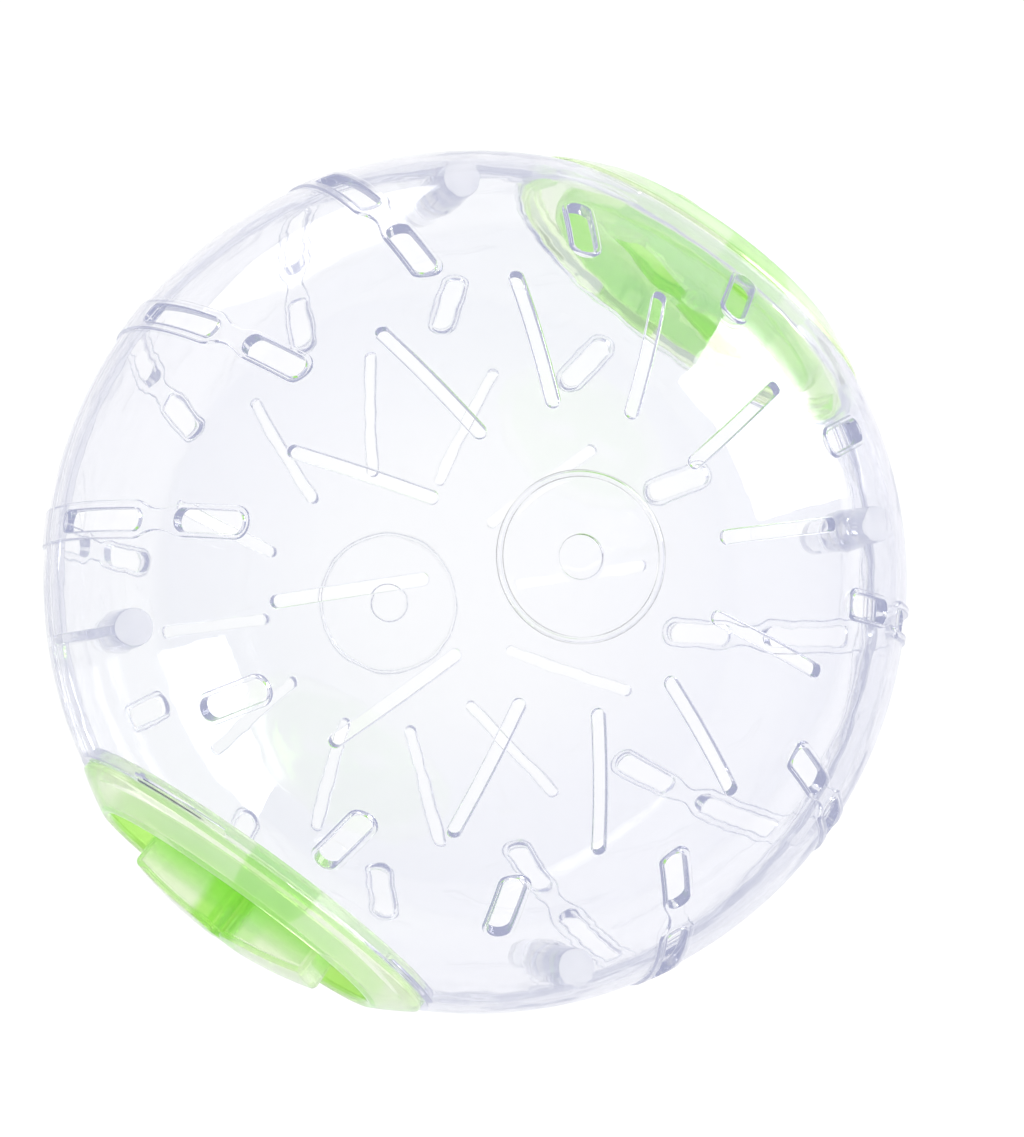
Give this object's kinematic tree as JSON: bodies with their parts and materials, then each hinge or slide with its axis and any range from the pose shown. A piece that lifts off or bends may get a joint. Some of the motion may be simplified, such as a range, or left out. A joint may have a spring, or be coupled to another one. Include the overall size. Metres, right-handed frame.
{
  "type": "hamster ball",
  "caption": "Clear round exercise ball for a small pet, with air slots in both half shells and round green lids over its side ports.",
  "frame": {"origin": "centre of the ball, on the seam plane", "axes": "+Z along the pole axis through the flat discs of the half shells, +X through the middle of the right lid"},
  "size_m": [0.204, 0.2012, 0.1966],
  "materials": {
    "clear_shell": "clear polished polystyrene, faint cool tint",
    "green_lid": "translucent lime green, smooth"
  },
  "bodies": {
    "ball": {"upper_half_shell": "clear_shell", "lower_half_shell": "clear_shell"},
    "right_lid": {"right_lid": "green_lid"},
    "left_lid": {"left_lid": "green_lid"}
  },
  "joints": [
    {"name": "right_lid_pull", "type": "slide", "parent": "ball", "child": "right_lid", "axis": [1, 0, 0], "range_m": [0, 0.15]},
    {"name": "left_lid_pull", "type": "slide", "parent": "ball", "child": "left_lid", "axis": [-1, 0, 0], "range_m": [0, 0.15]}
  ]
}
